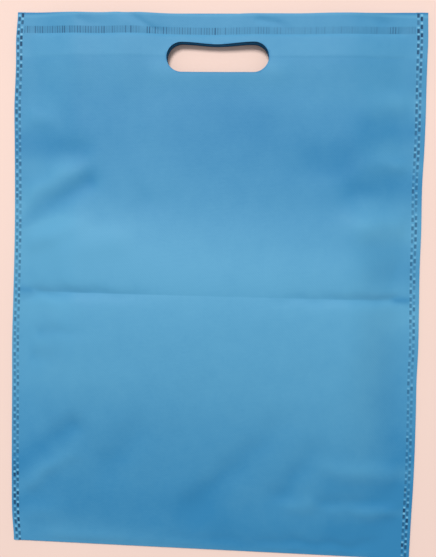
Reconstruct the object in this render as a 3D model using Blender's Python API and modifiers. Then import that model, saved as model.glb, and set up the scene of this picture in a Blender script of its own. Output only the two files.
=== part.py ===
"""Non-woven die-cut carrier bag, empty, lying on its back panel.

The bag is one sheet of spunbond cloth. The sheet is folded in half at the bottom, its two ends
are folded in at the mouth as hems, and welds join the plies along both hems and both sides.
A hand slot is punched through all plies under the mouth. X runs across the bag, Y points from
the bottom fold to the mouth and Z is up, with the origin under the middle of the bag.
"""
import math

import bmesh
import bpy
import numpy as np
from mathutils import Matrix

# Bag and cloth, in metres
BAG_WIDTH = 0.309
BAG_HEIGHT = 0.406
CLOTH = 0.00045
PLY_GAP = 0.0003

# Hems at the mouth, measured down from it
HEM_DEPTH = 0.0325
HEM_WELD_DROP = 0.0098
HEM_WELD_LENGTH = 0.0052

# Side welds, the flat cloth that borders each inside, and the middle of each from the side edge,
# with its shares at the mouth and at the bottom
WELD_WIDTH = 0.0042
WELD_BORDER = 0.0009
WELD_INSET = 0.005
LEFT_WELD_INSETS = (0.56, 0.74)
RIGHT_WELD_INSETS = (1.16, 0.84)

# Dashes that the welding wheel presses into the front of a side weld, in two staggered columns
DASH_PITCH = 0.0053
DASH_LENGTH = 0.0029
DASH_WIDTH = 0.0015
DASH_DEPTH = 0.0002
DASH_COLUMN_GAP = 0.00245

# Hand slot, with a top edge that sags between its round ends
SLOT_LENGTH = 0.0756
SLOT_HEIGHT = 0.0224
SLOT_DROP = 0.034
SLOT_SAG = 0.0016

# How far the cut side edges wander in, at shares of the way from the mouth to the bottom
WANDER = 0.0016
LEFT_WANDER = ((0, 1.6), (0.05, 0.85), (0.09, 0.9), (0.165, 0), (0.24, 0.33), (0.31, 0.62),
               (0.39, 0.8), (0.54, 0.38), (0.61, 0.08), (0.69, 0.27), (0.8, 0.43), (0.88, 0.63),
               (0.95, 1.03), (1, 2))
RIGHT_WANDER = ((0, 1.2), (0.05, 0.83), (0.09, 0.86), (0.165, 0.43), (0.24, 0.48), (0.31, 0.9),
                (0.39, 0.57), (0.46, 0.65), (0.54, 0.27), (0.61, 0), (0.66, 0.22), (0.73, 0),
                (0.85, 0), (0.92, 0.45), (0.96, 0.68), (1, 0.83))

# Air under the front panel: its greatest height, and shares of that down the middle
LIFT = 0.0112
LIFT_DOWN = ((0, 0.34), (0.036, 0.34), (0.08, 0.42), (0.14, 0.45), (0.2, 0.445), (0.3, 0.43),
             (0.36, 0.48), (0.42, 0.67), (0.48, 0.87), (0.54, 0.98), (0.6, 1), (0.66, 0.93),
             (0.76, 0.68), (0.86, 0.4), (0.94, 0.19), (0.98, 0.12), (1, 0.15))

# Waves of the front hem: shares of the lift from the left side to the right, their reach, and
# how far they draw the front back from the mouth
MOUTH_LIFT = ((0, 0.36), (0.15, 0.54), (0.22, 0.46), (0.27, 0.56), (0.38, 0.3), (0.5, 0.18),
              (0.58, 0.32), (0.7, 0.32), (0.8, 0.46), (0.91, 0.36), (1, 0.36))
MOUTH_REACH = 0.075
MOUTH_DRAW = 0.0012
SIDE_SLOPE = 0.048

# Crease across the panel, where the bag was folded for packing: its share of the way down
CREASE_PLACE = 0.518
CREASE_DEPTH = 0.0014
CREASE_WIDTH = 0.008

# Pleats of the front: two ends as shares of the width and of the way down from the mouth, then
# shares of the half width and of the rise, which is negative in a valley
PLEAT_WIDTH = 0.01
PLEAT_RISE = 0.001
PLEATS = (
    ((0.00, 0.25), (0.17, 0.26), 1.05, -1.6),
    ((0.01, 0.40), (0.19, 0.315), 0.8, -2),
    ((0.02, 0.445), (0.26, 0.42), 1.2, 1.2),
    ((0.00, 0.86), (0.16, 0.77), 0.85, -1.7),
    ((0.84, 0.325), (1.00, 0.315), 1.05, -1.6),
    ((0.86, 0.39), (1.00, 0.405), 0.9, 1.2),
    ((0.78, 0.905), (1.00, 0.895), 0.65, -1.3),
    ((0.36, 0.108), (0.64, 0.108), 0.9, 0.7),
)

# Counts of faces: across between the side welds, and along each stretch of the sheet
FACES_ACROSS = 26
FLAP_FACES = (1, 3)
FRONT_FACES = (1, 1, 3, 19, 1, 1, 19)
BACK_FACES = 4
MOUTH_FOLD_FACES = 4
BOTTOM_FOLD_FACES = 6
WELD_FACES = 50
SLOT_CURVE_FACES = 7

# How deep the filled welds bite into the plies that they join, as shares of the cloth, and how
# far they reach into the folds, as shares of a fold's radius
SIDE_BITE = 0.25
HEM_BITE = 0.18
SIDE_REACH = 0.5
HEM_REACH = 0.6

CLOTH_COLOR = (0.098, 0.33, 0.56, 1)
CLOTH_ROUGHNESS = 0.85
SHARP_ANGLE = math.radians(40)
MERGE_DISTANCE = 0.00001

crease_drop = CREASE_PLACE * BAG_HEIGHT
ply_pitch = CLOTH + PLY_GAP
fold_radius = ply_pitch / 2
fold_drop = CLOTH / 2 + fold_radius
back_middle = CLOTH / 2
hem_weld_end = HEM_WELD_DROP + HEM_WELD_LENGTH
flat_border = WELD_WIDTH / 2 + WELD_BORDER


def curve_through(points, where):
    """Smooth curve through the points, level at both ends."""
    at = np.array([point[0] for point in points], float)
    value = np.array([point[1] for point in points], float)
    slope = np.gradient(value, at)
    slope[[0, -1]] = 0
    where = np.clip(where, at[0], at[-1])
    cell = np.clip(np.searchsorted(at, where, side="right") - 1, 0, len(at) - 2)
    span = at[cell + 1] - at[cell]
    t = (where - at[cell]) / span
    start = value[cell] * (1 + 2 * t) * (1 - t) ** 2 + slope[cell] * span * t * (1 - t) ** 2
    end = value[cell + 1] * t ** 2 * (3 - 2 * t) + slope[cell + 1] * span * t ** 2 * (t - 1)
    return start + end


def ease(share):
    """Rise from 0 to 1 that starts and ends level."""
    share = np.clip(share, 0, 1)
    return share * share * (3 - 2 * share)


def side_edge(side, drop):
    """X of the left (-1) or right (+1) cut edge at a drop below the mouth."""
    wander = LEFT_WANDER if side < 0 else RIGHT_WANDER
    return side * (BAG_WIDTH / 2 - WANDER * curve_through(wander, drop / BAG_HEIGHT))


def weld_line(side, drop, outward=0.0):
    """X of the middle of a side weld, or of a line that lies outward of it."""
    at_mouth, at_bottom = LEFT_WELD_INSETS if side < 0 else RIGHT_WELD_INSETS
    inset = WELD_INSET * (at_mouth + (at_bottom - at_mouth) * drop / BAG_HEIGHT)
    return side_edge(side, drop) - side * (inset - outward)


def distance_to_line(x, drop, start, end):
    """Distance from points of the front to the straight line between two of its points."""
    run_x = end[0] - start[0]
    run_drop = end[1] - start[1]
    along = (x - start[0]) * run_x + (drop - start[1]) * run_drop
    along = np.clip(along / (run_x ** 2 + run_drop ** 2), 0, 1)
    return np.hypot(x - start[0] - along * run_x, drop - start[1] - along * run_drop)


def mouth_share(drop):
    """Share of the mouth's waves that is left at a drop."""
    return 1 - ease(drop / MOUTH_REACH)


def side_share(x, drop):
    """Share of the front's air at a point, from 0 at the side welds to 1 beyond the side slope."""
    from_left = x - weld_line(-1, drop, -flat_border)
    from_right = weld_line(1, drop, -flat_border) - x
    return ease(np.minimum(from_left, from_right) / SIDE_SLOPE)


def front_draw(x, drop):
    """How far the lifted front is drawn back from the mouth."""
    return MOUTH_DRAW * mouth_share(drop) * side_share(x, drop)


def front_rise(x, drop):
    """Height of the front ply above the back ply: the plies between, the air and the pleats."""
    flaps = 1 - ease((drop - HEM_DEPTH) / HEM_DEPTH)
    plies = ply_pitch * (1 + 2 * flaps)
    waves = curve_through(MOUTH_LIFT, x / BAG_WIDTH + 0.5) - LIFT_DOWN[0][1]
    share = curve_through(LIFT_DOWN, drop / BAG_HEIGHT) + mouth_share(drop) * waves
    air = LIFT * share
    for start, end, width, rise in PLEATS:
        ends = [((point[0] - 0.5) * BAG_WIDTH, point[1] * BAG_HEIGHT) for point in (start, end)]
        widths_off = distance_to_line(x, drop, *ends) / (PLEAT_WIDTH * width)
        air = air + PLEAT_RISE * rise * np.exp(-widths_off ** 2)
    air = air - CREASE_DEPTH * np.exp(-np.abs(drop - crease_drop) / CREASE_WIDTH)
    return plies + side_share(x, drop) * np.maximum(air, 0)


def front_height(x, drop):
    """Height of the middle of the front ply."""
    return back_middle + front_rise(x, drop)


def front_flap_height(x, drop):
    """Height of the middle of the front's flap."""
    return front_height(x, drop) - ply_pitch


def front_hem_height(x, drop):
    """Height midway between the front ply and its flap."""
    return front_height(x, drop) - ply_pitch / 2


def level(height):
    """Height function of a level ply."""
    return lambda x, drop: np.full_like(x, height)


def no_draw(x, drop):
    """Draw of a ply that lies flat."""
    return np.zeros_like(x)


def stations(ends, counts):
    """Places along a run, with each stretch between two ends cut into its count of steps."""
    runs = [np.linspace(a, b, n, endpoint=False) for a, b, n in zip(ends, ends[1:], counts)]
    return np.concatenate(runs + [[ends[-1]]])


def columns(drop, outer):
    """X of every column at each drop, between two outer lines and closer near the welds."""
    even = np.linspace(0, 1, FACES_ACROSS + 1)
    crowded = (1 - np.cos(math.pi * even)) / 2
    spread = (even + crowded) / 2
    left, right = (weld_line(side, drop, -flat_border)[:, None] for side in (-1, 1))
    return np.column_stack([outer(-1, drop), left + (right - left) * spread, outer(1, drop)])


def ply_rows(drops, height, draw, outer=side_edge):
    """Rows of points across the bag, one at each drop, with the height and draw of each point."""
    x = columns(drops, outer)
    drop = np.repeat(drops[:, None], x.shape[1], axis=1)
    return np.stack([x, BAG_HEIGHT / 2 - drop - draw(x, drop), height(x, drop)], axis=2)


def turn_rows(row, radius, start, count):
    """Rows of a half turn that begins at the given row, without its two end rows."""
    angles = start + math.pi * np.arange(1, count)[:, None] / count
    turned = np.repeat(row[None], count - 1, axis=0)
    turned[:, :, 1] += radius * (np.cos(angles) - math.cos(start))
    turned[:, :, 2] += radius * (np.sin(angles) - math.sin(start))
    return turned


def front_drops():
    """Drops of the rows of the front panel: dense at the hem and on the crease."""
    crease = (crease_drop - CREASE_WIDTH, crease_drop, crease_drop + CREASE_WIDTH)
    ends = (fold_drop, HEM_WELD_DROP, hem_weld_end, HEM_DEPTH, *crease, BAG_HEIGHT - fold_drop)
    return stations(ends, FRONT_FACES)


def folded_sheet():
    """Points of the folded sheet, row by row from the free edge of one flap to the other's."""
    flap_drops = stations((fold_drop, hem_weld_end, HEM_DEPTH), FLAP_FACES)
    back_drops = stations((BAG_HEIGHT - fold_drop, fold_drop), (BACK_FACES,))

    front_flap = ply_rows(flap_drops[::-1], front_flap_height, front_draw)
    front = ply_rows(front_drops(), front_height, front_draw)
    back = ply_rows(back_drops, level(back_middle), no_draw)
    back_flap = ply_rows(flap_drops, level(back_middle + ply_pitch), no_draw)

    bottom_radius = (front[-1, :, 2] - back_middle) / 2
    front[-1, :, 1] = back[0, :, 1] = CLOTH / 2 + bottom_radius - BAG_HEIGHT / 2
    front_turn = turn_rows(front_flap[-1], fold_radius, -math.pi / 2, MOUTH_FOLD_FACES)
    bottom_turn = turn_rows(front[-1], bottom_radius, math.pi / 2, BOTTOM_FOLD_FACES)
    back_turn = turn_rows(back[-1], fold_radius, -math.pi / 2, MOUTH_FOLD_FACES)
    return np.concatenate([front_flap, front_turn, front, bottom_turn, back, back_turn, back_flap])


def flat_grid(points):
    """Flat grid that spans -1 to 1, with a vertex for each point of a table."""
    rows, cols = points.shape[:2]
    bm = bmesh.new()
    bmesh.ops.create_grid(bm, x_segments=cols - 1, y_segments=rows - 1, size=1)
    return bm


def place_grid(verts, points):
    """Move vertices of a flat grid to their places in a table of points."""
    rows, cols = points.shape[:2]
    for vert in verts:
        row = round((vert.co.y + 1) / 2 * (rows - 1))
        col = round((vert.co.x + 1) / 2 * (cols - 1))
        vert.co = points[row, col]


def add_object(name, bm, collection):
    """Object made of a finished bmesh, in a collection."""
    mesh = bpy.data.meshes.new(name)
    bm.to_mesh(mesh)
    bm.free()
    obj = bpy.data.objects.new(name, mesh)
    collection.objects.link(obj)
    return obj


def make_guide(obj):
    """Show an object only as the wires of a guide."""
    obj.hide_render = True
    obj.display_type = "WIRE"
    return obj


def weld_fill(name, low, high, collection):
    """Closed block between two tables of points, for the cloth that a weld melts together."""
    bm = flat_grid(low)
    lower = list(bm.verts)
    raised = bmesh.ops.extrude_face_region(bm, geom=bm.faces[:])["geom"]
    upper = [item for item in raised if isinstance(item, bmesh.types.BMVert)]
    place_grid(lower, low)
    place_grid(upper, high)
    bmesh.ops.recalc_face_normals(bm, faces=bm.faces)
    return make_guide(add_object(name, bm, collection))


def side_weld(name, side, collection):
    """Fill of a side weld, through every ply from the mouth folds to the bottom fold."""
    bite = SIDE_BITE * CLOTH
    start = fold_drop - SIDE_REACH * fold_radius
    drops = np.linspace(start, BAG_HEIGHT - start, WELD_FACES + 1)
    middle = weld_line(side, drops)
    top = front_height(middle, drops) + bite
    low, high = ([], [])
    for offset in (-WELD_WIDTH / 2, WELD_WIDTH / 2):
        line = np.stack([middle + offset, BAG_HEIGHT / 2 - drops, top], axis=1)
        high.append(line)
        low.append(line * (1, 1, 0) + (0, 0, back_middle - bite))
    return weld_fill(name, np.stack(low, axis=1), np.stack(high, axis=1), collection)


def hem_weld(name, height, draw, collection):
    """Fill between a panel and its flap, from the mouth fold down to the end of the hem weld."""
    half = PLY_GAP / 2 + HEM_BITE * CLOTH
    start = fold_drop - HEM_REACH * fold_radius
    drops = np.array([start, HEM_WELD_DROP, hem_weld_end + PLY_GAP])
    low = ply_rows(drops, lambda x, drop: height(x, drop) - half, draw, weld_line)
    high = ply_rows(drops, lambda x, drop: height(x, drop) + half, draw, weld_line)
    return weld_fill(name, low, high, collection)


def dash_cutter(name, side, collection):
    """Cutter of the pressed dashes of a side weld, one small block for each dash."""
    bm = bmesh.new()
    for column in (0, 1):
        drops = np.arange(0.5 + column / 2, BAG_HEIGHT / DASH_PITCH - 0.5) * DASH_PITCH
        middles = weld_line(side, drops, (column - 0.5) * DASH_COLUMN_GAP)
        floors = front_height(middles, drops) + CLOTH / 2 - DASH_DEPTH
        for x, drop, floor in zip(middles, drops, floors):
            place = (x, BAG_HEIGHT / 2 - drop, floor + CLOTH)
            size = (DASH_WIDTH, DASH_LENGTH, 2 * CLOTH)
            bmesh.ops.create_cube(bm, size=1, matrix=Matrix.LocRotScale(place, None, size))
    return make_guide(add_object(name, bm, collection))


def slot_cutter(collection):
    """Cutter of the hand slot: flat below, round at the ends, sagging along the top."""
    curve = bpy.data.curves.new("slot_outline", "CURVE")
    curve.dimensions = "2D"
    curve.fill_mode = "BOTH"
    curve.extrude = 2 * LIFT + CLOTH
    curve.resolution_u = SLOT_CURVE_FACES
    radius = SLOT_HEIGHT / 2
    straight = SLOT_LENGTH / 2 - radius
    round_handle = radius * 4 / 3 * (math.sqrt(2) - 1)
    sag_handle = straight / 2
    # Each point: place, then the reach of its handles back and onward
    points = (
        ((-straight, -radius), (-round_handle, 0), (sag_handle, 0)),
        ((straight, -radius), (-sag_handle, 0), (round_handle, 0)),
        ((straight + radius, 0), (0, -round_handle), (0, round_handle)),
        ((straight, radius), (round_handle, 0), (-sag_handle, 0)),
        ((0, radius - SLOT_SAG), (sag_handle, 0), (-sag_handle, 0)),
        ((-straight, radius), (sag_handle, 0), (-round_handle, 0)),
        ((-straight - radius, 0), (0, round_handle), (0, -round_handle)),
    )
    spline = curve.splines.new("BEZIER")
    spline.bezier_points.add(len(points) - 1)
    spline.use_cyclic_u = True
    for knot, ((x, y), (back_x, back_y), (on_x, on_y)) in zip(spline.bezier_points, points):
        knot.co = (x, y, 0)
        knot.handle_left = (x + back_x, y + back_y, 0)
        knot.handle_right = (x + on_x, y + on_y, 0)
    outline = bpy.data.objects.new("slot_outline", curve)
    outline.location = (0, BAG_HEIGHT / 2 - SLOT_DROP, 0)
    collection.objects.link(outline)
    bpy.context.view_layer.update()

    mesh = bpy.data.meshes.new_from_object(outline.evaluated_get(bpy.context.view_layer.depsgraph))
    bm = bmesh.new()
    bm.from_mesh(mesh)
    bmesh.ops.remove_doubles(bm, verts=bm.verts, dist=MERGE_DISTANCE)
    bmesh.ops.recalc_face_normals(bm, faces=bm.faces)
    cutter = make_guide(add_object("slot_cutter", bm, collection))
    cutter.matrix_world = outline.matrix_world
    bpy.data.objects.remove(outline)
    return cutter


def cloth_material():
    """Dull blue spunbond cloth."""
    material = bpy.data.materials.new("spunbond_cloth")
    material.use_nodes = True
    shader = material.node_tree.nodes["Principled BSDF"]
    shader.inputs["Base Color"].default_value = CLOTH_COLOR
    shader.inputs["Roughness"].default_value = CLOTH_ROUGHNESS
    shader.inputs["Metallic"].default_value = 0
    return material


def combine(obj, operation, other):
    """Join another object to this one, or cut it away, with an exact Boolean."""
    modifier = obj.modifiers.new(f"{operation.lower()} {other.name}", "BOOLEAN")
    modifier.solver = "EXACT"
    modifier.operation = operation
    modifier.object = other


def make_bag(parts, guides):
    """The whole bag: the folded sheet with its thickness, its welds and its slot."""
    points = folded_sheet()
    sheet = flat_grid(points)
    place_grid(sheet.verts, points)
    bag = add_object("bag", sheet, parts)
    cloth = bag.modifiers.new("cloth", "SOLIDIFY")
    cloth.thickness = CLOTH
    cloth.offset = 0
    cloth.use_even_offset = True
    combine(bag, "UNION", side_weld("left_weld", -1, guides))
    combine(bag, "UNION", side_weld("right_weld", 1, guides))
    back_hem_height = level(back_middle + ply_pitch / 2)
    combine(bag, "UNION", hem_weld("front_hem_weld", front_hem_height, front_draw, guides))
    combine(bag, "UNION", hem_weld("back_hem_weld", back_hem_height, no_draw, guides))
    combine(bag, "DIFFERENCE", dash_cutter("left_dashes", -1, guides))
    combine(bag, "DIFFERENCE", dash_cutter("right_dashes", 1, guides))
    combine(bag, "DIFFERENCE", slot_cutter(guides))
    bag.data.materials.append(cloth_material())
    bag.data.shade_smooth()
    bag.data.set_sharp_from_angle(angle=SHARP_ANGLE)
    return bag


def main():
    """Clear the scene and make the bag."""
    for obj in list(bpy.data.objects):
        bpy.data.objects.remove(obj)
    parts = bpy.data.collections.new("die_cut_bag")
    guides = bpy.data.collections.new("guides")
    for collection in (parts, guides):
        bpy.context.scene.collection.children.link(collection)
    make_bag(parts, guides)


main()
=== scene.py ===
import math

import bpy
import numpy as np
from mathutils import Euler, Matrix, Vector


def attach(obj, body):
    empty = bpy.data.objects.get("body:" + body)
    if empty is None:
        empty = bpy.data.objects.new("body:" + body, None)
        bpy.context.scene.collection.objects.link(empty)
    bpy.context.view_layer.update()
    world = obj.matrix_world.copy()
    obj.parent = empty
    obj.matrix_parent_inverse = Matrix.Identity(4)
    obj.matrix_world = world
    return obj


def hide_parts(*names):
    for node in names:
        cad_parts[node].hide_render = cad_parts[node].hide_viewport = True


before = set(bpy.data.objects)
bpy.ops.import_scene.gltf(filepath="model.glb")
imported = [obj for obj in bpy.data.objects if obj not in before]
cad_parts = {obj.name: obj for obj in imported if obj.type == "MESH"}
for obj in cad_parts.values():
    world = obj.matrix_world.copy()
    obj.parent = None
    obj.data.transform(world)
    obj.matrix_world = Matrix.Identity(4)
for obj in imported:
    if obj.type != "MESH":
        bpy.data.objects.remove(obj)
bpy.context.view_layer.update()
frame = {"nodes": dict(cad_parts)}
print("frame loaded:", ", ".join(frame["nodes"]))

# All lengths in metres. Drop is the distance down from the mouth, across runs from the left.
bagLook = {
    "width": 0.309,
    "height": 0.406,
    "cloth": 0.00045,
    "plyGap": 0.0003,
    "hemDepth": 0.0325,
    "airLift": 0.0112,
    "airDown": ((0, 0.34), (0.036, 0.34), (0.08, 0.42), (0.14, 0.45), (0.2, 0.445), (0.3, 0.43),
                (0.36, 0.48), (0.42, 0.67), (0.48, 0.87), (0.54, 0.98), (0.6, 1), (0.66, 0.93),
                (0.76, 0.68), (0.86, 0.4), (0.94, 0.19), (0.98, 0.12), (1, 0.15)),
    "airMouth": ((0, 0.36), (0.15, 0.54), (0.22, 0.46), (0.27, 0.56), (0.38, 0.3), (0.5, 0.18),
                 (0.58, 0.32), (0.7, 0.32), (0.8, 0.46), (0.91, 0.36), (1, 0.36)),
    "mouthReach": 0.075,
    "mouthDraw": 0.0020,
    "sideSlope": 0.048,
    "edgeWander": 0.0016,
    "leftWander": ((0, 1.6), (0.05, 0.85), (0.09, 0.9), (0.165, 0), (0.24, 0.33), (0.31, 0.62),
                   (0.39, 0.8), (0.54, 0.38), (0.61, 0.08), (0.69, 0.27), (0.8, 0.43),
                   (0.88, 0.63), (0.95, 1.03), (1, 2)),
    "rightWander": ((0, 1.2), (0.05, 0.83), (0.09, 0.86), (0.165, 0.43), (0.24, 0.48),
                    (0.31, 0.9), (0.39, 0.57), (0.46, 0.65), (0.54, 0.27), (0.61, 0),
                    (0.66, 0.22), (0.73, 0), (0.85, 0), (0.92, 0.45), (0.96, 0.68), (1, 0.83)),
    "creaseDrop": 0.518 * 0.406,
    "creaseDepth": 0.0014,
    "creaseWidth": 0.008,
    # Big pleats: two ends as shares of width and height, half width, rise
    "pleats": (
        ((0.00, 0.25), (0.17, 0.26), 0.0105, -0.0016),
        ((0.01, 0.40), (0.19, 0.315), 0.0080, -0.0020),
        ((0.02, 0.445), (0.26, 0.42), 0.0120, 0.0012),
        ((0.00, 0.86), (0.16, 0.77), 0.0085, -0.0017),
        ((0.84, 0.325), (1.00, 0.315), 0.0105, -0.0016),
        ((0.86, 0.39), (1.00, 0.405), 0.0090, 0.0012),
        ((0.78, 0.905), (1.00, 0.895), 0.0065, -0.0013),
        ((0.36, 0.108), (0.64, 0.108), 0.0090, 0.0007),
    ),
    # Small wrinkles, in the same terms, that fade to their second end; the fifth value is the
    # share of the length over which they fade in
    "wrinkles": (
        ((0.27, 0.00), (0.40, 0.040), 0.0026, -0.0008, 0),
        ((0.15, 0.012), (0.24, 0.026), 0.0030, -0.0005, 0.2),
        ((0.58, 0.008), (0.68, 0.034), 0.0030, -0.0007, 0.2),
        ((0.93, 0.02), (0.76, 0.004), 0.0040, -0.0006, 0.2),
        ((0.01, 0.20), (0.12, 0.195), 0.0070, 0.0012, 0),
        ((0.01, 0.36), (0.24, 0.245), 0.0075, 0.0015, 0),
        ((0.01, 0.43), (0.22, 0.385), 0.0065, 0.0015, 0),
        ((0.29, 0.35), (0.44, 0.345), 0.0110, -0.0008, 0.3),
        ((0.86, 0.27), (0.66, 0.285), 0.0120, -0.0011, 0.3),
        ((0.985, 0.165), (0.83, 0.17), 0.0080, 0.0012, 0),
        ((0.99, 0.275), (0.84, 0.27), 0.0065, 0.0015, 0),
        ((0.99, 0.375), (0.76, 0.39), 0.0095, 0.0016, 0),
        ((0.99, 0.47), (0.86, 0.475), 0.0100, -0.0011, 0),
        ((0.00, 0.519), (0.36, 0.522), 0.0050, -0.0013, 0),
        ((1.00, 0.519), (0.62, 0.519), 0.0045, -0.0011, 0),
        ((0.04, 0.595), (0.22, 0.59), 0.0050, -0.0007, 0.2),
        ((0.03, 0.645), (0.14, 0.64), 0.0055, -0.0007, 0.2),
        ((0.415, 0.965), (0.70, 0.725), 0.0105, -0.0015, 0.25),
        ((0.64, 0.925), (0.78, 0.775), 0.0090, -0.0014, 0.3),
        ((0.22, 0.88), (0.37, 0.73), 0.0110, -0.0011, 0.3),
        ((0.01, 0.90), (0.20, 0.805), 0.0055, 0.0014, 0),
        ((0.01, 0.955), (0.16, 0.925), 0.0070, 0.0008, 0),
        ((0.99, 0.845), (0.74, 0.83), 0.0075, 0.0014, 0),
        ((0.99, 0.917), (0.62, 0.90), 0.0055, 0.0015, 0),
        ((0.99, 0.978), (0.25, 0.985), 0.0045, -0.0011, 0),
    ),
    # Soft places of painted light and shade, as if the front were a little higher or lower, which
    # only tint it; the last two carry the painted shade of the crease on to the side welds
    "paintedShadePatches": (
        ((0.50, 0.155), (0.60, 0.20), 0.020, -0.0009),
        ((0.86, 0.205), (0.95, 0.21), 0.014, -0.0010),
        ((0.74, 0.25), (0.82, 0.26), 0.018, -0.0006),
        ((0.33, 0.20), (0.37, 0.32), 0.016, 0.0006),
        ((0.08, 0.43), (0.45, 0.49), 0.022, 0.0008),
        ((0.60, 0.48), (0.85, 0.53), 0.020, 0.0005),
        ((0.90, 0.46), (0.97, 0.47), 0.016, -0.0009),
        ((0.05, 0.68), (0.25, 0.68), 0.018, 0.0006),
        ((0.92, 0.70), (0.98, 0.80), 0.016, -0.0008),
        ((0.80, 0.865), (0.98, 0.865), 0.010, -0.0013),
        ((0.82, 0.955), (0.98, 0.95), 0.012, -0.0014),
        ((0.04, 0.955), (0.06, 0.98), 0.014, -0.0010),
        ((0.45, 0.90), (0.55, 0.97), 0.016, -0.0007),
        ((0.03, 0.165), (0.09, 0.17), 0.012, 0.0010),
        ((0.03, 0.275), (0.13, 0.28), 0.011, 0.0012),
        ((0.02, 0.405), (0.12, 0.39), 0.010, 0.0014),
        ((0.90, 0.245), (0.97, 0.245), 0.008, 0.0012),
        ((0.86, 0.345), (0.97, 0.335), 0.010, 0.0012),
        ((0.02, 0.545), (0.12, 0.545), 0.009, 0.0010),
        ((0.93, 0.55), (0.99, 0.55), 0.011, 0.0012),
        ((0.022, 0.515), (0.042, 0.5165), 0.0028, -0.0026),
        ((0.942, 0.518), (0.968, 0.518), 0.0028, -0.0026),
    ),
    "wrinkleWobble": 0.0035,
    "wrinkleSlope": 0.011,
    # Strength of the crease, as shares of the width from the left
    "creaseStrength": ((0, 1.3), (0.15, 1.3), (0.32, 0.9), (0.42, 0.55), (0.65, 0.5), (0.8, 0.8),
                       (0.92, 1.2), (1, 1.2)),
    "hemDip": 0.0008,
    "hemDipAbove": 0.0060,
    "hemDipBelow": 0.0014,
    "flapStep": 0.00010,
    "flapStepWidth": 0.0011,
    "ripple": 0.00022,
    "bottomEase": 0.008,
    # Paleness of the cloth down the bag, paler where air lifts it and with painted light and shade
    # down its length: 0 deep, 1 clear
    "paleAndShadeDown": ((0, 0.34), (0.08, 0.44), (0.12, 0.46), (0.17, 0.29), (0.3, 0.37), (0.36, 0.57),
                 (0.42, 0.8), (0.5, 0.83), (0.6, 0.8), (0.68, 0.69), (0.76, 0.45), (0.85, 0.31),
                 (0.97, 0.25), (0.985, 0.38), (1, 0.5)),
    # Tilt of the painted light and shade across the bag: its strength, centre and reach
    "paintedShadeSkew": 0.09,
    "skewCentre": 0.35,
    "skewReach": 0.3,
    # Painted light on the ridges and painted shade in the folds of the relief
    "reliefPaintedShade": 170,
    "backPaleness": 0.25,
    # Painted shade in the lower right corner: its strength, and where it starts and how fast it
    # comes, as shares of the width and of the height
    "paintedCornerShade": 0.3,
    "cornerAcross": (0.86, 0.1),
    "cornerDown": (0.52, 0.12),
    "doublePaleness": 0.12,
    # Painted shade along the mouth fold and a painted highlight just below it
    "paintedFoldShade": 0.8,
    "paintedFoldShadeReach": 0.0016,
    "paintedFoldHighlight": 0.3,
    "paintedFoldHighlightDrop": 0.0032,
    "columnStep": 0.0026,
    "turnSteps": 8,
    "sharpAngle": 40,
}

hemWeldLook = {
    "start": 0.0102,
    "end": 0.0154,
    "bandStrength": ((0, 0.16), (0.3, 0.12), (0.5, 0.09), (0.75, 0.07), (0.88, 0.12), (1, 0.18)),
    "pitch": 0.002,
    "tickWidth": 0.00075,
    "tickDepth": 0.00018,
    "tickShift": 0.12,
    "tickRamp": 0.0005,
    "weldRamp": 0.0006,
    "mostStrength": 1.2,
    "columnsPerStep": 8,
    "unevenness": 0.40,
    "seed": 7,
    # Strength of the ticks, as shares of the width from the left
    "strength": ((0, 0.6), (0.1, 0.62), (0.12, 0.72), (0.19, 0.72), (0.205, 1.3), (0.22, 0.7),
                 (0.34, 0.7), (0.4, 0.42), (0.48, 0.45), (0.493, 1), (0.506, 0.4), (0.6, 0.35),
                 (0.7, 0.25), (0.85, 0.25), (0.9, 0.4), (0.912, 1.1), (0.93, 0.35), (1, 0.3)),
}

sideWeldLook = {
    "insets": {"left": (0.0028, 0.0037), "right": (0.0058, 0.0042)},
    "halfWidth": 0.0032,
    "flatHalf": 0.0030,
    "overlap": 0.0005,
    "columnGap": 0.00245,
    "dashPitch": 0.0053,
    "dashLength": 0.0031,
    "dashWidth": 0.00175,
    "spotLength": 0.0013,
    "spotWidth": 0.0016,
    "dashDepth": 0.00024,
    "dashRamp": 0.0003,
    "dashUneven": 0.65,
    "dashShift": 0.14,
    "pillow": 0.00009,
    "leastProud": 0.00002,
    "underDepth": 0.0001,
    "edgeRounding": 0.00012,
    "endInset": 0.00012,
    "rowStep": 0.00048,
    "sharpAngle": 55,
    "seed": 11,
    # Strength of the dashes down the left and the right weld
    "leftStrength": ((0, 1), (0.06, 1), (0.12, 0.75), (0.3, 0.65), (0.6, 0.55), (0.854, 0.55),
                     (0.869, 1), (1, 1)),
    "rightStrength": ((0, 1), (0.05, 1), (0.1, 0.75), (0.3, 0.65), (0.6, 0.6), (0.863, 0.5),
                      (0.878, 1), (1, 1)),
}

slotLook = {
    "length": 0.0756,
    "height": 0.0224,
    "drop": 0.034,
    "sag": 0.0016,
    "stepsRound": 18,
    "stepsAlong": 30,
    "cutFrom": -0.01,
    "cutTo": 0.03,
}

halfHeight = bagLook["height"] / 2
plyPitch = bagLook["cloth"] + bagLook["plyGap"]
foldRadius = plyPitch / 2
foldDrop = bagLook["cloth"] / 2 + foldRadius
backMiddle = bagLook["cloth"] / 2


def ease(share):
    # 3s^2 - 2s^3, held at 0 and 1 outside
    share = np.clip(share, 0, 1)
    return share * share * (3 - 2 * share)


def curveThrough(points, where):
    # Cubic Hermite curve through the points, level at both ends
    at, value = np.array(points, float).T
    slope = np.gradient(value, at)
    slope[[0, -1]] = 0
    where = np.clip(where, at[0], at[-1])
    cell = np.clip(np.searchsorted(at, where, side="right") - 1, 0, len(at) - 2)
    span = at[cell + 1] - at[cell]
    t = (where - at[cell]) / span
    start = value[cell] * (1 + 2 * t) * (1 - t) ** 2 + slope[cell] * span * t * (1 - t) ** 2
    end = value[cell + 1] * t ** 2 * (3 - 2 * t) + slope[cell + 1] * span * t ** 2 * (t - 1)
    return start + end


def straightThrough(points, where):
    # Straight lines from point to point
    at, value = zip(*points)
    return np.interp(where, at, value)


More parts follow.
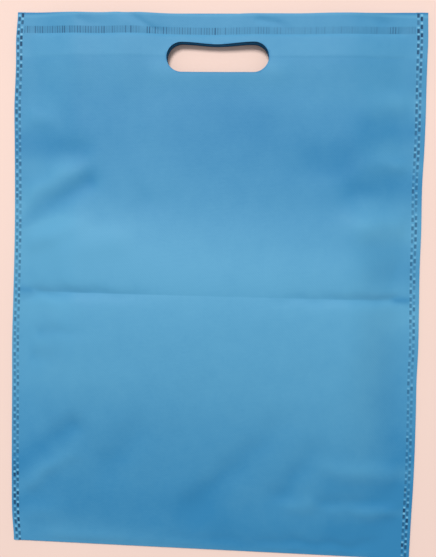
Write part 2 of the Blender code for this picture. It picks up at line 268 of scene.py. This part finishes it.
def cutEdge(side, drop):
    # x of the cut edge: half the width less the hand cut's wander
    wander = bagLook["leftWander"] if side < 0 else bagLook["rightWander"]
    inward = bagLook["edgeWander"] * curveThrough(wander, drop / bagLook["height"])
    return side * (bagLook["width"] / 2 - inward)


def weldMiddle(side, drop):
    # x of the middle of a side weld: the cut edge less an inset that runs evenly to the bottom
    atMouth, atBottom = sideWeldLook["insets"]["left" if side < 0 else "right"]
    return cutEdge(side, drop) - side * (atMouth + (atBottom - atMouth) * drop / bagLook["height"])


def alongFold(x, drop, start, end, halfWidth, fadeIn=None):
    # exp(-(d / halfWidth)^2), where d is the distance to a straight line between two ends; with
    # a fade it weakens as 1 - s^2 with the share s of the length
    startX, endX = ((point[0] - 0.5) * bagLook["width"] for point in (start, end))
    startDrop, endDrop = (point[1] * bagLook["height"] for point in (start, end))
    runX, runDrop = endX - startX, endDrop - startDrop
    along = ((x - startX) * runX + (drop - startDrop) * runDrop) / (runX ** 2 + runDrop ** 2)
    along = np.clip(along, 0, 1)
    distance = np.hypot(x - startX - along * runX, drop - startDrop - along * runDrop)
    fold = np.exp(-(distance / halfWidth) ** 2)
    if fadeIn is None:
        return fold
    least = 0.001  # so a fade of 0 starts at full strength
    return (1 - along ** 2) * ease((along + least) / max(fadeIn, least)) * fold


def clothRipple(x, drop):
    # Sum of six long sine waves in different directions, from -1 to 1
    waves = ((61, 23, 0.4), (-37, 71, 1.9), (97, 45, 3.1), (18, 118, 5.0), (-131, 62, 0.9),
             (152, -88, 2.2))
    total = sum(np.sin(a * x * 1.7 + b * drop * 1.7 + c) for a, b, c in waves)
    return total / len(waves)


def mouthShare(drop):
    # 1 at the mouth, easing to 0 at the reach of its waves
    return 1 - ease(drop / bagLook["mouthReach"])


def sideShare(x, drop, slope=bagLook["sideSlope"]):
    # 0 at the side welds, easing to 1 over the length of the slope
    fromLeft = x - weldMiddle(-1, drop) - sideWeldLook["flatHalf"]
    fromRight = weldMiddle(1, drop) - x - sideWeldLook["flatHalf"]
    return ease(np.minimum(fromLeft, fromRight) / slope)


def frontDraw(x, drop):
    # The lifted front is drawn back from the mouth, most between the welds and at the mouth
    return bagLook["mouthDraw"] * mouthShare(drop) * sideShare(x, drop)


def airHeight(x, drop):
    # Height of the air under the front: lift down the bag, waves of the mouth, pleats, crease
    share, across = drop / bagLook["height"], x / bagLook["width"] + 0.5
    mouth = curveThrough(bagLook["airMouth"], across) - bagLook["airDown"][0][1]
    air = bagLook["airLift"] * (curveThrough(bagLook["airDown"], share) + mouthShare(drop) * mouth)
    for start, end, halfWidth, rise in bagLook["pleats"]:
        air = air + rise * alongFold(x, drop, start, end, halfWidth)
    fromCrease = np.abs(drop - bagLook["creaseDrop"])
    return air - bagLook["creaseDepth"] * curveThrough(bagLook["creaseStrength"], across) * np.exp(
        -fromCrease / bagLook["creaseWidth"])


def wrinkleHeight(x, drop):
    # Sum of the small wrinkles, their lines made unsteady by a ripple
    wobble = bagLook["wrinkleWobble"]
    x, drop = x + wobble * clothRipple(drop, x + 0.2), drop + wobble * clothRipple(x + 0.4, drop)
    return sum(rise * alongFold(x, drop, start, end, halfWidth, fadeIn)
               for start, end, halfWidth, rise, fadeIn in bagLook["wrinkles"])


def smallRelief(x, drop):
    # Wrinkles, the dip that falls slowly to the hem weld's lower edge, flap step, faint ripple
    fromWeld = drop - hemWeldLook["end"]
    run = np.where(fromWeld < 0, bagLook["hemDipAbove"], bagLook["hemDipBelow"])
    rightward = 0.6 + 0.8 * ease(x / bagLook["width"] + 0.5)
    step = np.tanh((drop - bagLook["hemDepth"]) / bagLook["flapStepWidth"])
    return wrinkleHeight(x, drop) - bagLook["hemDip"] * np.exp(-np.abs(fromWeld) / run) - (
        bagLook["flapStep"] * rightward * step) + bagLook["ripple"] * clothRipple(x, drop)


def frontRise(x, drop):
    # Height of the front above the back: the plies between, the air and the small relief
    flaps = 1 - ease((drop - bagLook["hemDepth"]) / bagLook["hemDepth"])
    air = sideShare(x, drop) * np.maximum(airHeight(x, drop), 0)
    air = air + sideShare(x, drop, bagLook["wrinkleSlope"]) * smallRelief(x, drop)
    atBottom = ease((bagLook["height"] - drop) / bagLook["bottomEase"])
    return plyPitch * (1 + 2 * flaps) + np.maximum(air, 0) * atBottom


def frontHeight(x, drop):
    # z of the front: the middle of the back plus the rise
    return backMiddle + frontRise(x, drop)


def band(value, middle, halfWidth, ramp):
    # 1 within the half width of the middle, falling to 0 over a ramp
    return ease((halfWidth - np.abs(value - middle)) / ramp + 0.5)


def hemTicks(x, drop):
    # Narrow upright marks a pitch apart, each with its own place and strength
    look = hemWeldLook
    rng = np.random.default_rng(look["seed"])
    count = int(bagLook["width"] / look["pitch"]) + 3
    shift = rng.uniform(-look["tickShift"], look["tickShift"], count)
    power = 1 - look["unevenness"] * rng.normal(0.5, 1.0, count).clip(-0.8, 2.6)
    number = np.clip(np.round((x + bagLook["width"] / 2) / look["pitch"]), 0, count - 1).astype(int)
    middle = (number + shift[number]) * look["pitch"] - bagLook["width"] / 2
    share = x / bagLook["width"] + 0.5
    strength = straightThrough(look["strength"], share) * power[number]
    across = band(x, middle, look["tickWidth"] / 2, look["tickRamp"])
    down = band(drop, (look["start"] + look["end"]) / 2, (look["end"] - look["start"]) / 2,
                look["weldRamp"])
    return down * np.maximum(across * np.clip(strength, 0, look["mostStrength"]),
                             straightThrough(look["bandStrength"], share))


def makeObject(name, points, faces, masks=None):
    # Mesh from tables of points and of faces, with named values for every point
    mesh = bpy.data.meshes.new(name)
    rows = [row for part in faces for row in part.tolist()]
    mesh.from_pydata(points.reshape(-1, 3).tolist(), [], rows)
    for maskName, values in (masks or {}).items():
        mesh.attributes.new(maskName, "FLOAT", "POINT").data.foreach_set(
            "value", values.astype(np.float32).ravel())
    mesh.polygons.foreach_set("use_smooth", [True] * len(mesh.polygons))
    mesh.update()
    obj = bpy.data.objects.new(name, mesh)
    bpy.context.scene.collection.objects.link(obj)
    return obj


def numberGrid(rows, cols, first):
    # Point numbers of a table whose points are counted row by row
    return first + np.arange(rows * cols).reshape(rows, cols)


def gridFaces(at):
    # One four-sided face for each cell of a table of point numbers
    return np.stack([at[:-1, :-1], at[1:, :-1], at[1:, 1:], at[:-1, 1:]], axis=-1).reshape(-1, 4)


def joiningFaces(coarse, fine, times, fineBelow):
    # Faces between a coarse row and a fine row that has several points for each of its steps
    along = [fine[step:len(fine) - times + step:times] for step in range(times + 1)]
    if fineBelow:
        return np.stack([coarse[:-1]] + along + [coarse[1:]], axis=-1)
    return np.stack([coarse[1:]] + along[::-1] + [coarse[:-1]], axis=-1)


def acrossPlaces(drops, steps):
    # x of every column: even between the two side welds, whose borders they overlap a little
    look = sideWeldLook
    left = weldMiddle(-1, drops) + look["halfWidth"] - look["overlap"]
    right = weldMiddle(1, drops) - look["halfWidth"] + look["overlap"]
    return left[:, None] + (right - left)[:, None] * np.linspace(0, 1, steps + 1)


def noDraw(x, drop):
    # 0 everywhere: the back is not drawn back from the mouth
    return np.zeros_like(x)


def plyRows(drops, steps, height, draw):
    # Points of a ply: even across, at its drops less the draw, at the height of a function
    x = acrossPlaces(drops, steps)
    drop = np.repeat(drops[:, None], steps + 1, axis=1)
    return np.stack([x, halfHeight - drop - draw(x, drop), height(x, drop)], axis=-1)


def halfTurn(row, radius, start, count):
    # Rows of a half circle that leaves the given row, without its first and last
    angle = start + math.pi * np.arange(1, count)[:, None] / count
    turned = np.repeat(row[None], count - 1, axis=0)
    turned[:, :, 1] += radius * (np.cos(angle) - math.cos(start))
    turned[:, :, 2] += radius * (np.sin(angle) - math.sin(start))
    return turned


def spaced(*stretches):
    # Drops from one end to the next, each stretch given as (start, end, greatest step)
    runs = []
    for start, end, step in stretches:
        count = max(1, math.ceil(abs(end - start) / step))
        runs.append(np.linspace(start, end, count, endpoint=False))
    return np.concatenate(runs + [[stretches[-1][1]]])


def level(height):
    # The same height everywhere
    return lambda x, drop: np.full_like(x, height)


def pressedFront(x, drop):
    # Height of the front less the depth of the upright marks
    return frontHeight(x, drop) - hemWeldLook["tickDepth"] * hemTicks(x, drop)


def paleAndPaintedShade(points):
    # Thin cloth looks paler the more air is under it, and this tone paints light and shade too: a
    # curve down the bag, painted light on ridges and painted shade in folds, more where it lies
    # double at the hem, painted shade at the mouth fold and the lower right, a painted highlight
    # below the fold
    x, drop = points[..., 0], halfHeight - points[..., 1]
    share, across = drop / bagLook["height"], x / bagLook["width"] + 0.5
    skew = bagLook["paintedShadeSkew"] * (across - bagLook["skewCentre"])
    skewed = share - skew * ease(share / bagLook["skewReach"])
    pleats = sum(rise * alongFold(x, drop, start, end, halfWidth)
                 for start, end, halfWidth, rise in bagLook["pleats"] + bagLook["paintedShadePatches"])
    tone = curveThrough(bagLook["paleAndShadeDown"], skewed) + bagLook["reliefPaintedShade"] * (
        pleats + wrinkleHeight(x, drop))
    rightOf, rightReach = bagLook["cornerAcross"]
    below, lowerReach = bagLook["cornerDown"]
    tone = tone - bagLook["paintedCornerShade"] * ease((across - rightOf) / rightReach) * ease(
        (share - below) / lowerReach)
    fromFlap = bagLook["hemDepth"] + bagLook["mouthDraw"] / 2 - drop
    tone = tone + bagLook["doublePaleness"] * ease(fromFlap / 0.0022 + 0.5)
    # Painted shade on the mouth fold, and a painted highlight a little below it
    tone = tone - bagLook["paintedFoldShade"] * (1 - ease(drop / bagLook["paintedFoldShadeReach"] - 0.3)) + (
        bagLook["paintedFoldHighlight"] * band(drop, bagLook["paintedFoldHighlightDrop"], 0.0008, 0.0014))
    onFront = ease(2 - (frontHeight(x, drop) - points[..., 2]) / 0.002)
    return bagLook["backPaleness"] + onFront * (tone - bagLook["backPaleness"])


def makeCloth():
    # The whole sheet: flap, mouth fold, front, bottom fold, back, mouth fold, flap
    steps = round(bagLook["width"] / bagLook["columnStep"])
    times = hemWeldLook["columnsPerStep"]
    hemDepth, crease = bagLook["hemDepth"], bagLook["creaseDrop"]
    weldTop, weldEnd = hemWeldLook["start"] - 0.0006, hemWeldLook["end"] + 0.0006
    bottom = bagLook["height"] - foldDrop

    flapDrops = spaced((foldDrop, weldEnd, 0.005), (weldEnd, hemDepth, 0.003))
    hemDrops = spaced((foldDrop, weldTop, 0.0011))
    tickDrops = spaced((weldTop + 0.0003, weldTop + 0.0012, 0.0003),
                       (weldTop + 0.0012, weldEnd - 0.0012, 0.0012),
                       (weldEnd - 0.0012, weldEnd - 0.0003, 0.0003))
    near, far, edge = 0.004, 0.015, 0.003
    fine, medium, coarse = 0.0006, 0.0014, 0.0025
    panelDrops = spaced((weldEnd, hemDepth - edge, 0.0018),
                        (hemDepth - edge, hemDepth + edge, fine),
                        (hemDepth + edge, crease - far, coarse),
                        (crease - far, crease - near, medium), (crease - near, crease, fine),
                        (crease, crease + near, fine), (crease + near, crease + far, medium),
                        (crease + far, bottom - near, coarse), (bottom - near, bottom, 0.0012))
    backDrops = spaced((bottom, foldDrop, 0.011))

    flap = plyRows(flapDrops[::-1], steps, lambda x, drop: frontHeight(x, drop) - plyPitch,
                   frontDraw)
    hem = plyRows(hemDrops, steps, frontHeight, frontDraw)
    ticks = plyRows(tickDrops, steps * times, pressedFront, frontDraw)
    panel = plyRows(panelDrops, steps, frontHeight, frontDraw)
    back = plyRows(backDrops, steps, level(backMiddle), noDraw)
    backFlap = plyRows(flapDrops, steps, level(backMiddle + plyPitch), noDraw)

    bottomRadius = (panel[-1, :, 2] - backMiddle) / 2
    panel[-1, :, 1] = back[0, :, 1] = bagLook["cloth"] / 2 + bottomRadius - halfHeight
    turnSteps = bagLook["turnSteps"]
    frontTurn = halfTurn(flap[-1], foldRadius, -math.pi / 2, turnSteps)
    bottomTurn = halfTurn(panel[-1], bottomRadius, math.pi / 2, turnSteps)
    backTurn = halfTurn(back[-1], foldRadius, -math.pi / 2, turnSteps)

    above = np.concatenate([flap, frontTurn, hem])
    below = np.concatenate([panel, bottomTurn, back, backTurn, backFlap])
    aboveAt = numberGrid(*above.shape[:2], 0)
    ticksAt = numberGrid(*ticks.shape[:2], aboveAt.size)
    belowAt = numberGrid(*below.shape[:2], aboveAt.size + ticksAt.size)
    faces = [gridFaces(aboveAt), joiningFaces(aboveAt[-1], ticksAt[0], times, True),
             gridFaces(ticksAt), joiningFaces(belowAt[0], ticksAt[-1], times, False),
             gridFaces(belowAt)]
    tables = [above, ticks, below]
    pressed = np.concatenate([
        np.zeros(aboveAt.size),
        hemTicks(ticks[..., 0], np.repeat(tickDrops[:, None], steps * times + 1, axis=1)).ravel(),
        np.zeros(belowAt.size)])
    points = np.concatenate([table.reshape(-1, 3) for table in tables])
    return makeObject("bagCloth", points, faces, {"pressed": pressed, "paleAndPaintedShade": paleAndPaintedShade(points)})


def makeSlotCutter():
    # Outline of the hand slot, round at its ends and sagging along the top, carried along Z
    look = slotLook
    radius = look["height"] / 2
    straight = look["length"] / 2 - radius
    turn = np.linspace(-math.pi / 2, math.pi / 2, look["stepsRound"])
    rightEnd = np.column_stack([straight + radius * np.cos(turn), radius * np.sin(turn)])
    leftEnd = -rightEnd
    top = np.linspace(straight, -straight, look["stepsAlong"])[1:-1]
    sag = look["sag"] * np.cos(top / straight * math.pi / 2) ** 2
    outline = np.concatenate([rightEnd, np.column_stack([top, radius - sag]), leftEnd])
    outline[:, 1] += halfHeight - look["drop"]
    count = len(outline)
    low = np.column_stack([outline, np.full(count, look["cutFrom"])])
    high = np.column_stack([outline, np.full(count, look["cutTo"])])
    at = np.arange(count)
    walls = np.stack([at, np.roll(at, -1), np.roll(at, -1) + count, at + count], axis=-1)
    ends = np.stack([at[::-1], at + count])
    return makeObject("slotCutter", np.concatenate([low, high]), [walls, ends])


def bakeShape(obj, sharpAngle):
    # Modifiers become the mesh, and edges over the angle become sharp
    graph = bpy.context.evaluated_depsgraph_get()
    mesh = bpy.data.meshes.new_from_object(obj.evaluated_get(graph))
    obj.modifiers.clear()
    obj.data = mesh
    mesh.polygons.foreach_set("use_smooth", [True] * len(mesh.polygons))
    mesh.set_sharp_from_angle(angle=math.radians(sharpAngle))
    mesh.update()


bagCloth = makeCloth()
thickness = bagCloth.modifiers.new("thickness", "SOLIDIFY")
thickness.thickness = bagLook["cloth"]
thickness.offset = 0
thickness.use_even_offset = True
slotCutter = makeSlotCutter()
slotCut = bagCloth.modifiers.new("handSlot", "BOOLEAN")
slotCut.operation = "DIFFERENCE"
slotCut.solver = "EXACT"
slotCut.object = slotCutter
bakeShape(bagCloth, bagLook["sharpAngle"])
bpy.data.objects.remove(slotCutter)
print("cloth done:", len(bagCloth.data.polygons), "faces")


def markCutFaces(obj):
    # Upright faces inside the hand slot get the second material, a dark painted shade
    count = len(obj.data.polygons)
    centers, normals = np.empty(count * 3), np.empty(count * 3)
    obj.data.polygons.foreach_get("center", centers)
    obj.data.polygons.foreach_get("normal", normals)
    centers, normals = centers.reshape(-1, 3), normals.reshape(-1, 3)
    reach = np.abs(centers[:, :2] - (0, halfHeight - slotLook["drop"]))
    inside = (reach[:, 0] < slotLook["length"] / 2 + 0.001) & (
        reach[:, 1] < slotLook["height"] / 2 + 0.001) & (np.abs(normals[:, 2]) < 0.5)
    obj.data.polygons.foreach_set("material_index", inside.astype(np.int32))


def dashColumns(side, away, drop, late, length, width):
    # Two columns of short marks like brickwork, each with its own strength and shift; away is
    # the distance outward from the middle, and late is the start as a share of the pitch
    look = sideWeldLook
    rng = np.random.default_rng(look["seed"] + (side > 0))
    count = int(bagLook["height"] / look["dashPitch"]) + 3
    total = 0
    for column in (0, 1):
        power = np.minimum(1.1 - look["dashUneven"] * rng.random(count), 1)
        shift = look["dashShift"] * rng.uniform(-1, 1, count) + column / 2 + late
        nearest = np.round(drop / look["dashPitch"] - column / 2 - late)
        number = np.clip(nearest, 0, count - 1).astype(int)
        middle = (number + shift[number]) * look["dashPitch"]
        down = band(drop, middle, length / 2, look["dashRamp"])
        across = band(away, (column - 0.5) * look["columnGap"], width / 2, look["dashRamp"])
        total = total + down * across * power[number]
    name = "leftStrength" if side < 0 else "rightStrength"
    return total * straightThrough(look[name], drop / bagLook["height"])


def sideDashes(side, away, drop):
    # Pressed dashes, the first half a pitch down
    look = sideWeldLook
    return dashColumns(side, away, drop, 0.5, look["dashLength"], look["dashWidth"])


def spotHighlight(side, away, drop):
    # Small spots between the dashes, painted lighter as a painted highlight
    look = sideWeldLook
    return dashColumns(side, away, drop, 0, look["spotLength"], look["spotWidth"])


def makeSideWeld(name, side):
    # A ring carried down the side: pressed top, cut edge with the plies showing, flat underside
    look = sideWeldLook
    end = look["endInset"]
    drops = spaced((end, bagLook["height"] - end, look["rowStep"]))
    half, gap, dash = look["halfWidth"], look["columnGap"] / 2, look["dashWidth"] / 2
    near = np.array([-0.0002, -0.00005, 0.0001, 0.00035])
    around = np.concatenate([m + s * (dash + near[::s]) for m in (-gap, gap) for s in (-1, 1)])
    inner = np.sort(np.concatenate([[-half, -half + 0.0003], around, [-gap, gap, 0]]))
    inner = inner[np.concatenate([[True], np.diff(inner) > 0.00008])]
    middle = weldMiddle(side, drops)[:, None]
    edge = np.abs(cutEdge(side, drops)[:, None] - middle)
    beyond = np.linspace(0.25, 1, 4) ** 0.8
    outer = inner[-1] + (edge - inner[-1]) * beyond
    away = np.concatenate([np.repeat(inner[None], len(drops), axis=0), outer], axis=1)
    drop = np.repeat(drops[:, None], away.shape[1], axis=1)
    x = middle + side * away
    marks = sideDashes(side, away, drop)
    between = band(away, 0, half - 0.0006, 0.0008)
    proud = look["leastProud"] + look["pillow"] * between
    top = frontHeight(x, drop) + backMiddle + proud - (look["dashDepth"] + look["pillow"]) * marks
    rounded = look["edgeRounding"] * (away > edge - 0.00001)
    topTable = np.stack([x, halfHeight - drop, top - rounded], axis=-1)

    # Cut edge: the sheet's plies stand out from the gaps between them
    out = np.array([0.04, -0.1, 0.05, -0.12, 0.05, -0.1, 0.03]) * 0.001
    levels = np.linspace(0.9, 0.1, len(out))
    edgeTop = topTable[:, -1, 2][:, None]
    edgeX = (middle + side * edge) + side * out
    edgeY = np.repeat(halfHeight - drops[:, None], len(out), axis=1)
    edgeTable = np.stack([edgeX, edgeY, edgeTop * levels], axis=-1)

    under = np.concatenate([[edge[:, 0] - 0.0001], [edge[:, 0] * 0.5 + 0.0006],
                            np.repeat(inner[::-3][:, None], len(drops), axis=1)]).T
    under = np.minimum(under, edge - 0.00005)
    underX = middle + side * under
    underMarks = sideDashes(side, under, np.repeat(drops[:, None], under.shape[1], axis=1))
    underTable = np.stack([underX, np.repeat(halfHeight - drops[:, None], under.shape[1], axis=1),
                           look["underDepth"] * underMarks], axis=-1)

    ring = np.concatenate([topTable, edgeTable, underTable], axis=1)
    pressed = np.concatenate([marks, np.zeros(edgeTable.shape[:2]), underMarks * 0.6], axis=1)
    spotHighlightMask = np.concatenate([spotHighlight(side, away, drop), np.zeros(edgeTable.shape[:2]),
                                np.zeros(underMarks.shape)], axis=1)
    at = numberGrid(*ring.shape[:2], 0)
    closed = np.concatenate([at, at[:, :1]], axis=1)
    walls = gridFaces(closed)
    ends = np.stack([at[0], at[-1, ::-1]])
    if side < 0:
        walls, ends = walls[:, ::-1], ends[:, ::-1]
    masks = {"pressed": pressed, "proud": spotHighlightMask, "paleAndPaintedShade": paleAndPaintedShade(ring)}
    return makeObject(name, ring, [walls, ends], masks)


leftWeld = makeSideWeld("leftWeld", -1)
rightWeld = makeSideWeld("rightWeld", 1)
for weld in (leftWeld, rightWeld):
    weld.data.set_sharp_from_angle(angle=math.radians(sideWeldLook["sharpAngle"]))
print("side welds done:", len(leftWeld.data.polygons), "faces each")

clothLook = {
    # deep and clear are the dye at the shaded and the lit end of the stored tone, which paints
    # light and shade
    "deep": (0.022, 0.202, 0.415, 1),
    "clear": (0.088, 0.330, 0.534, 1),
    "melted": (0.0015, 0.050, 0.130, 1),
    # proud is a lighter colour for the spots between the weld dashes: a painted highlight
    "proud": (0.17, 0.46, 0.66, 1),
    # Near-black painted shade for the cut faces inside the hand slot
    "cut": (0.002, 0.012, 0.045, 1),
    "roughness": 0.6,
    "specular": 0.32,
    "meltedRoughness": 0.65,
    "sheen": 0.08,
    "sheenRoughness": 0.5,
    "cutRoughness": 0.85,
    "cutSpecular": 0.2,
    "grainShare": 0.22,
    "toneRange": (0.20, 0.70),
    "bondSpacing": 0.0013,
    "weldedSpacing": 0.9,
    "fibreSize": 0.0004,
    "cloudSize": 0.012,
    "bump": 0.35,
    "bumpDistance": 0.0002,
}


def socket(group, name, kind, way, value=None):
    # Named socket of a node group, with the value that it starts from
    made = group.interface.new_socket(name=name, in_out=way, socket_type=kind)
    if value is not None:
        made.default_value = value


def addNode(tree, kind, values=None, **settings):
    # New node with its settings and the values of its sockets
    node = tree.nodes.new(kind)
    for name, value in settings.items():
        setattr(node, name, value)
    for name, value in (values or {}).items():
        node.inputs[name].default_value = value
    return node


def feed(tree, way, item):
    # A number or a colour is set on the socket, and the output of a node is linked to it
    if isinstance(item, (int, float, tuple)):
        way.default_value = item
    else:
        tree.links.new(item, way)


def addMath(tree, operation, first, second):
    # Output of one sum or product of two numbers or outputs
    node = addNode(tree, "ShaderNodeMath", operation=operation)
    feed(tree, node.inputs[0], first)
    feed(tree, node.inputs[1], second)
    return node.outputs[0]


def mixColors(tree, share, first, second):
    # Output that goes from the first colour at 0 to the second at 1
    node = addNode(tree, "ShaderNodeMix", data_type="RGBA")
    for place, item in ((0, share), (6, first), (7, second)):
        feed(tree, node.inputs[place], item)
    return node.outputs[2]


def storedMask(tree, name):
    # Output with the values that the mesh keeps under a name
    return addNode(tree, "ShaderNodeAttribute", attribute_name=name).outputs["Fac"]


def newMaterial(name, roughness, specular):
    # Material with its shader, whose roughness and gloss are plain values
    material = bpy.data.materials.new(name)
    material.use_nodes = True
    shader = material.node_tree.nodes["Principled BSDF"]
    shader.inputs["Roughness"].default_value = roughness
    shader.inputs["Specular IOR Level"].default_value = specular
    return material, shader


def spunbondGroup():
    # Grain of spunbond cloth: rows of bond points, crossing fibres and clouds of thicker web
    group = bpy.data.node_groups.new("spunbondGrain", "ShaderNodeTree")
    socket(group, "Bond Spacing", "NodeSocketFloat", "INPUT", 0.0013)
    socket(group, "Fibre Size", "NodeSocketFloat", "INPUT", 0.0004)
    socket(group, "Cloud Size", "NodeSocketFloat", "INPUT", 0.012)
    socket(group, "Tone", "NodeSocketFloat", "OUTPUT")
    socket(group, "Height", "NodeSocketFloat", "OUTPUT")
    link = group.links.new
    given = group.nodes.new("NodeGroupInput")
    result = group.nodes.new("NodeGroupOutput")
    place = group.nodes.new("ShaderNodeTexCoord").outputs["Object"]

    bondTurn = addNode(group, "ShaderNodeMapping", {"Rotation": (0, 0, math.radians(45))})
    link(place, bondTurn.inputs["Vector"])
    bonds = addNode(group, "ShaderNodeTexVoronoi", {"Randomness": 0.06}, voronoi_dimensions="2D")
    link(bondTurn.outputs[0], bonds.inputs["Vector"])
    link(addMath(group, "DIVIDE", 1.0, given.outputs["Bond Spacing"]), bonds.inputs["Scale"])
    bond = addNode(group, "ShaderNodeMapRange", {"From Min": 0.16, "From Max": 0.34, "To Min": 0.0,
                                                 "To Max": 1.0}, interpolation_type="SMOOTHSTEP")
    link(bonds.outputs["Distance"], bond.inputs["Value"])

    fibres = []
    for degrees in (28, -35):
        turn = addNode(group, "ShaderNodeMapping", {"Rotation": (0, 0, math.radians(degrees)),
                                                    "Scale": (0.12, 1, 1)})
        link(place, turn.inputs["Vector"])
        noise = addNode(group, "ShaderNodeTexNoise", {"Detail": 2.0, "Roughness": 0.55})
        link(turn.outputs[0], noise.inputs["Vector"])
        link(addMath(group, "DIVIDE", 1.0, given.outputs["Fibre Size"]), noise.inputs["Scale"])
        fibres.append(noise.outputs["Fac"])
    fibre = addMath(group, "MULTIPLY", addMath(group, "ADD", *fibres), 0.5)

    paintedShadePatches = addNode(group, "ShaderNodeTexNoise", {"Detail": 3.0, "Roughness": 0.6})
    link(place, paintedShadePatches.inputs["Vector"])
    link(addMath(group, "DIVIDE", 1.0, given.outputs["Cloud Size"]), paintedShadePatches.inputs["Scale"])

    grain = addMath(group, "ADD", addMath(group, "MULTIPLY", fibre, 0.45),
                    addMath(group, "MULTIPLY", bond.outputs[0], 0.15))
    link(addMath(group, "ADD", grain, addMath(group, "MULTIPLY", paintedShadePatches.outputs["Fac"], 0.3)),
         result.inputs["Tone"])
    link(addMath(group, "ADD", addMath(group, "MULTIPLY", fibre, 0.6),
                 addMath(group, "MULTIPLY", bond.outputs[0], 0.4)), result.inputs["Height"])
    return group


def clothMaterial(name, grain, bondSpacing):
    # Dyed spunbond cloth that is darker and shinier where a weld has melted it, with painted light
    # and shade from its stored tone and painted highlight spots on the welds
    look = clothLook
    material, shader = newMaterial(name, look["roughness"], look["specular"])
    tree = material.node_tree
    link = tree.links.new
    shader.inputs["Sheen Weight"].default_value = look["sheen"]
    shader.inputs["Sheen Roughness"].default_value = look["sheenRoughness"]

    cloth = addNode(tree, "ShaderNodeGroup", node_tree=grain)
    cloth.inputs["Bond Spacing"].default_value = bondSpacing
    cloth.inputs["Fibre Size"].default_value = look["fibreSize"]
    cloth.inputs["Cloud Size"].default_value = look["cloudSize"]
    pressed = storedMask(tree, "pressed")

    spread = look["grainShare"]
    toneLow, toneHigh = look["toneRange"]
    tone = addNode(tree, "ShaderNodeMapRange", {"From Min": toneLow, "From Max": toneHigh,
                                                "To Min": -spread, "To Max": spread})
    link(cloth.outputs["Tone"], tone.inputs["Value"])
    # The stored tone paints light and shade by mixing the deep and clear colours
    pale = addMath(tree, "ADD", tone.outputs[0], storedMask(tree, "paleAndPaintedShade"))
    dyed = mixColors(tree, pale, look["deep"], look["clear"])
    color = mixColors(tree, pressed, dyed, look["melted"])
    # Spots between the weld dashes get a painted highlight
    color = mixColors(tree, storedMask(tree, "proud"), color, look["proud"])
    link(color, shader.inputs["Base Color"])

    rough = addNode(tree, "ShaderNodeMapRange", {"To Min": look["roughness"],
                                                 "To Max": look["meltedRoughness"]})
    link(pressed, rough.inputs["Value"])
    link(rough.outputs[0], shader.inputs["Roughness"])

    bump = addNode(tree, "ShaderNodeBump", {"Strength": look["bump"],
                                            "Distance": look["bumpDistance"]})
    link(cloth.outputs["Height"], bump.inputs["Height"])
    link(bump.outputs[0], shader.inputs["Normal"])
    return material


def cutMaterial():
    # Near-black, dull colour on the faces where the die cut through the plies: painted shade of the
    # dark slot wall
    look = clothLook
    material, shader = newMaterial("cutEdge", look["cutRoughness"], look["cutSpecular"])
    shader.inputs["Base Color"].default_value = look["cut"]
    return material


grain = spunbondGroup()
bagCloth.data.materials.clear()
bagCloth.data.materials.append(clothMaterial("spunbondCloth", grain, clothLook["bondSpacing"]))
bagCloth.data.materials.append(cutMaterial())
markCutFaces(bagCloth)
weldedSpacing = clothLook["bondSpacing"] * clothLook["weldedSpacing"]
weldedCloth = clothMaterial("weldedCloth", grain, weldedSpacing)
for weld in (leftWeld, rightWeld):
    weld.data.materials.append(weldedCloth)
print("materials done")

studioLook = {
    "floor": (0.84, 0.635, 0.56, 1),
    "floorSize": 4.0,
    "floorDrop": 0.0003,
    "floorRoughness": 0.9,
    "floorSpecular": 0.2,
    "floorShade": 0.97,
    "floorCloud": 6.0,
    "sky": (0.95, 0.97, 1.0, 1),
    "skyStrength": 0.42,
    "keyPlace": (-0.62, 2.15, 3.35),
    "keySize": 1.3,
    "keyPower": 146,
    "keyColor": (1.0, 0.985, 0.97),
}


def makeFloor():
    # Flat square under the bag
    look = studioLook
    half = look["floorSize"] / 2
    corners = np.array([(-half, -half), (half, -half), (half, half), (-half, half)])
    points = np.column_stack([corners, np.full(4, -look["floorDrop"])])
    floor = makeObject("floor", points, [np.array([[0, 1, 2, 3]])])
    material, shader = newMaterial("paleFloor", look["floorRoughness"], look["floorSpecular"])
    tree = material.node_tree
    place = tree.nodes.new("ShaderNodeTexCoord").outputs["Object"]
    soft = addNode(tree, "ShaderNodeTexNoise", {"Scale": look["floorCloud"], "Detail": 2.0})
    tree.links.new(place, soft.inputs["Vector"])
    shaded = tuple(look["floorShade"] * value for value in look["floor"][:3]) + (1,)
    color = mixColors(tree, soft.outputs["Fac"], shaded, look["floor"])
    tree.links.new(color, shader.inputs["Base Color"])
    floor.data.materials.append(material)
    return floor


floor = makeFloor()

world = bpy.data.worlds.new("softSky")
bpy.context.scene.world = world
world.use_nodes = True
sky = world.node_tree.nodes["Background"].inputs
sky["Color"].default_value = studioLook["sky"]
sky["Strength"].default_value = studioLook["skyStrength"]

keyData = bpy.data.lights.new("keyLight", "AREA")
keyData.size = studioLook["keySize"]
keyData.energy = studioLook["keyPower"]
keyData.color = studioLook["keyColor"]
key = bpy.data.objects.new("keyLight", keyData)
key.location = studioLook["keyPlace"]
key.rotation_euler = (-Vector(studioLook["keyPlace"])).to_track_quat("-Z", "Y").to_euler()
bpy.context.scene.collection.objects.link(key)
bpy.context.scene.view_settings.view_transform = "Standard"

cameraLook = {
    "place": (0.0246, 0.01983, 0.41303),
    "turn": (-1.8957, 2.9181, 1.3494),
    "lens": 35.289,
}
cameraData = bpy.data.cameras.new("camera")
cameraData.lens = cameraLook["lens"]
cameraData.clip_start = 0.01
camera = bpy.data.objects.new("camera", cameraData)
camera.location = cameraLook["place"]
camera.rotation_euler = Euler([math.radians(angle) for angle in cameraLook["turn"]])
bpy.context.scene.collection.objects.link(camera)
bpy.context.scene.camera = camera
print("studio done")

for piece in (bagCloth, leftWeld, rightWeld):
    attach(piece, "root")
    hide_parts("bag")

bpy.context.view_layer.update()
